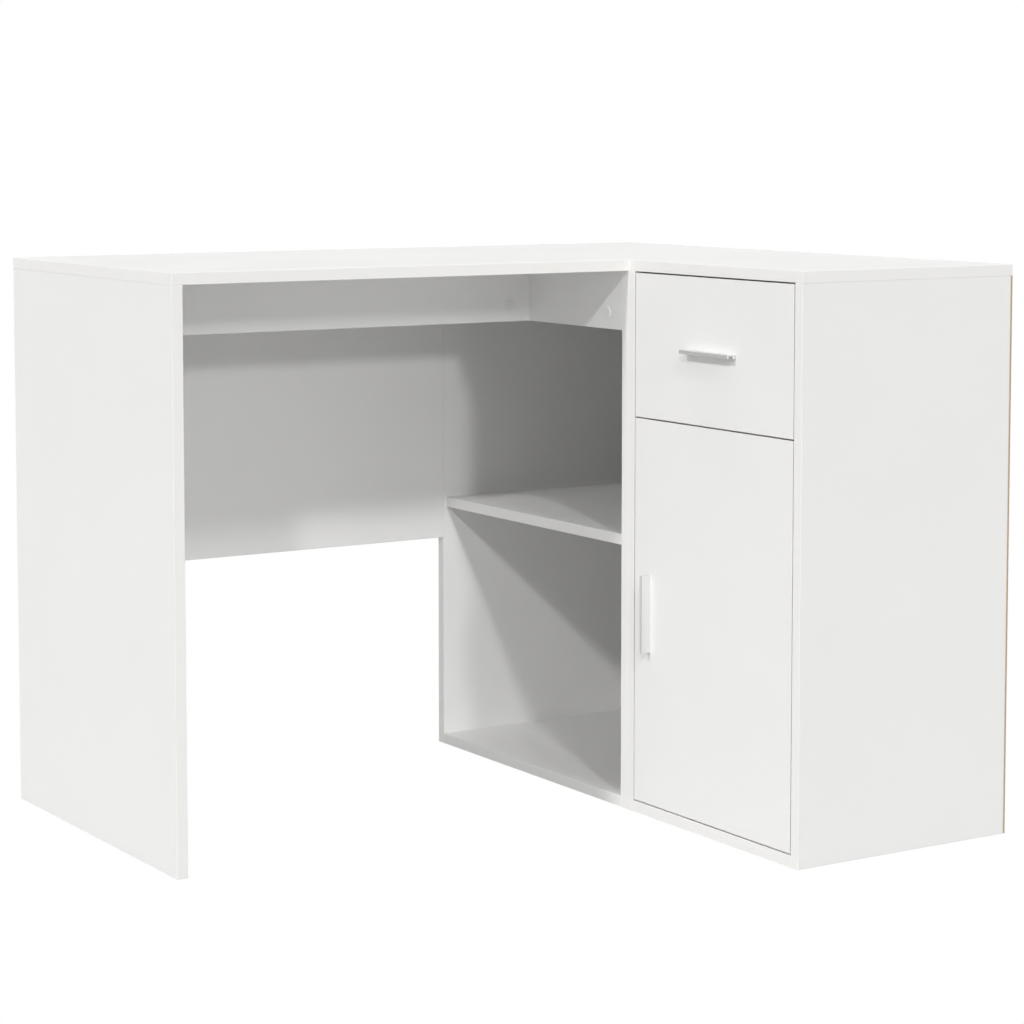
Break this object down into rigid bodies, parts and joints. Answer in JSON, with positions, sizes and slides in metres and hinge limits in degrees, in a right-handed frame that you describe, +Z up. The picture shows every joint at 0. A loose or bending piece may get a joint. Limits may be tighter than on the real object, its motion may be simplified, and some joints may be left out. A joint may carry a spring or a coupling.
{
  "type": "corner desk",
  "caption": "White corner desk: worktop with modesty panel, open shelf unit under its right end, and a forward wing with a drawer above a hinged door.",
  "frame": {"origin": "middle of the footprint's bounding box, on the floor", "axes": "+X runs right along the worktop's long side, towards the cabinet wing; +Y runs back, away from the user; +Z up"},
  "size_m": [1.02, 0.875, 0.75],
  "materials": {
    "white_melamine": "white melamine-faced particle board, satin, with matching edge band",
    "hardboard": "3 mm hardboard, bare sawn edges, white paper face inside",
    "zinc_alloy": "die-cast zinc alloy, dull",
    "plated_steel": "zinc-plated steel",
    "nickel_hinge": "nickel-plated pressed steel",
    "runner_enamel": "white epoxy enamel",
    "roller_nylon": "moulded white nylon",
    "handle_metal": "satin silver",
    "cap_plastic": "moulded white plastic",
    "beech": "fluted beech, bare",
    "bumper_rubber": "soft milky polyurethane"
  },
  "bodies": {
    "frame": {"desk_top": "white_melamine", "left_leg_panel": "white_melamine", "modesty_panel": "white_melamine", "desk_rail": "white_melamine", "shelf_rail": "white_melamine", "shelf_rear_end_panel": "white_melamine", "shelf_near_end_panel": "white_melamine", "shelf_bottom_board": "white_melamine", "fixed_shelf": "white_melamine", "cabinet_top": "white_melamine", "cabinet_inner_side": "white_melamine", "cabinet_outer_side": "white_melamine", "cabinet_bottom_board": "white_melamine", "drawer_divider": "white_melamine", "loose_shelf": "white_melamine", "shelf_back_panel": "hardboard", "cabinet_back_panel": "hardboard", "desk_cam_locks": "zinc_alloy", "cabinet_cam_locks": "zinc_alloy", "desk_cam_bolts": "plated_steel", "cabinet_cam_bolts": "plated_steel", "back_panel_nails": "plated_steel", "connector_bolts": "plated_steel", "connector_sleeves": "plated_steel", "shelf_pins": "plated_steel", "runner_cabinet_screws": "plated_steel", "front_roller_rivets": "plated_steel", "hinge_plate_screws": "plated_steel", "hinge_pivot_pins": "plated_steel", "hinge_arms": "nickel_hinge", "hinge_mounting_plates": "nickel_hinge", "runner_cabinet_left": "runner_enamel", "runner_cabinet_right": "runner_enamel", "desk_cam_caps": "cap_plastic", "desk_dowels": "beech", "cabinet_dowels": "beech", "door_bumpers": "bumper_rubber"},
    "door": {"door_panel": "white_melamine", "door_handle": "handle_metal", "door_handle_screws": "plated_steel", "hinge_cups": "nickel_hinge", "hinge_cup_screws": "plated_steel"},
    "hinge_link_pair": {"hinge_links": "nickel_hinge"},
    "drawer": {"drawer_front": "white_melamine", "drawer_left_side": "white_melamine", "drawer_right_side": "white_melamine", "drawer_back": "white_melamine", "drawer_bottom": "hardboard", "drawer_handle": "handle_metal", "drawer_handle_screws": "plated_steel", "drawer_cam_locks": "zinc_alloy", "drawer_cam_bolts": "plated_steel", "drawer_dowels": "beech", "drawer_corner_screws": "plated_steel", "runner_drawer_left": "runner_enamel", "runner_drawer_right": "runner_enamel", "runner_drawer_screws": "plated_steel", "rear_roller_rivets": "plated_steel"},
    "front_roller_pair": {"front_rollers": "roller_nylon"},
    "rear_roller_pair": {"rear_rollers": "roller_nylon"}
  },
  "joints": [
    {"name": "door_hinge", "type": "hinge", "parent": "frame", "child": "door", "pos_m": [0.165, -0.4205, 0.27775], "axis": [0, 0, 1], "range_deg": [0, 95]},
    {"name": "hinge_link_turn", "type": "hinge", "parent": "frame", "child": "hinge_link_pair", "pos_m": [0.186, -0.4135, 0.2775], "axis": [0, 0, 1], "range_deg": [0, 65]},
    {"name": "drawer_slide", "type": "slide", "parent": "frame", "child": "drawer", "axis": [-1, 0, 0], "range_m": [0, 0.22]},
    {"name": "front_roller_spin", "type": "hinge", "parent": "frame", "child": "front_roller_pair", "pos_m": [0.196, -0.25, 0.5543], "axis": [0, -1, 0], "range_deg": [0, 1150]},
    {"name": "rear_roller_spin", "type": "hinge", "parent": "drawer", "child": "rear_roller_pair", "pos_m": [0.466, -0.25, 0.55265], "axis": [0, -1, 0], "range_deg": [0, 1225]}
  ],
  "couplings": [
    {"joint": "hinge_link_turn", "follows": "door_hinge", "ratio": 0.68},
    {"joint": "front_roller_spin", "follows": "drawer_slide", "rad_per_m": 90.09},
    {"joint": "rear_roller_spin", "follows": "drawer_slide", "rad_per_m": 96.154}
  ]
}
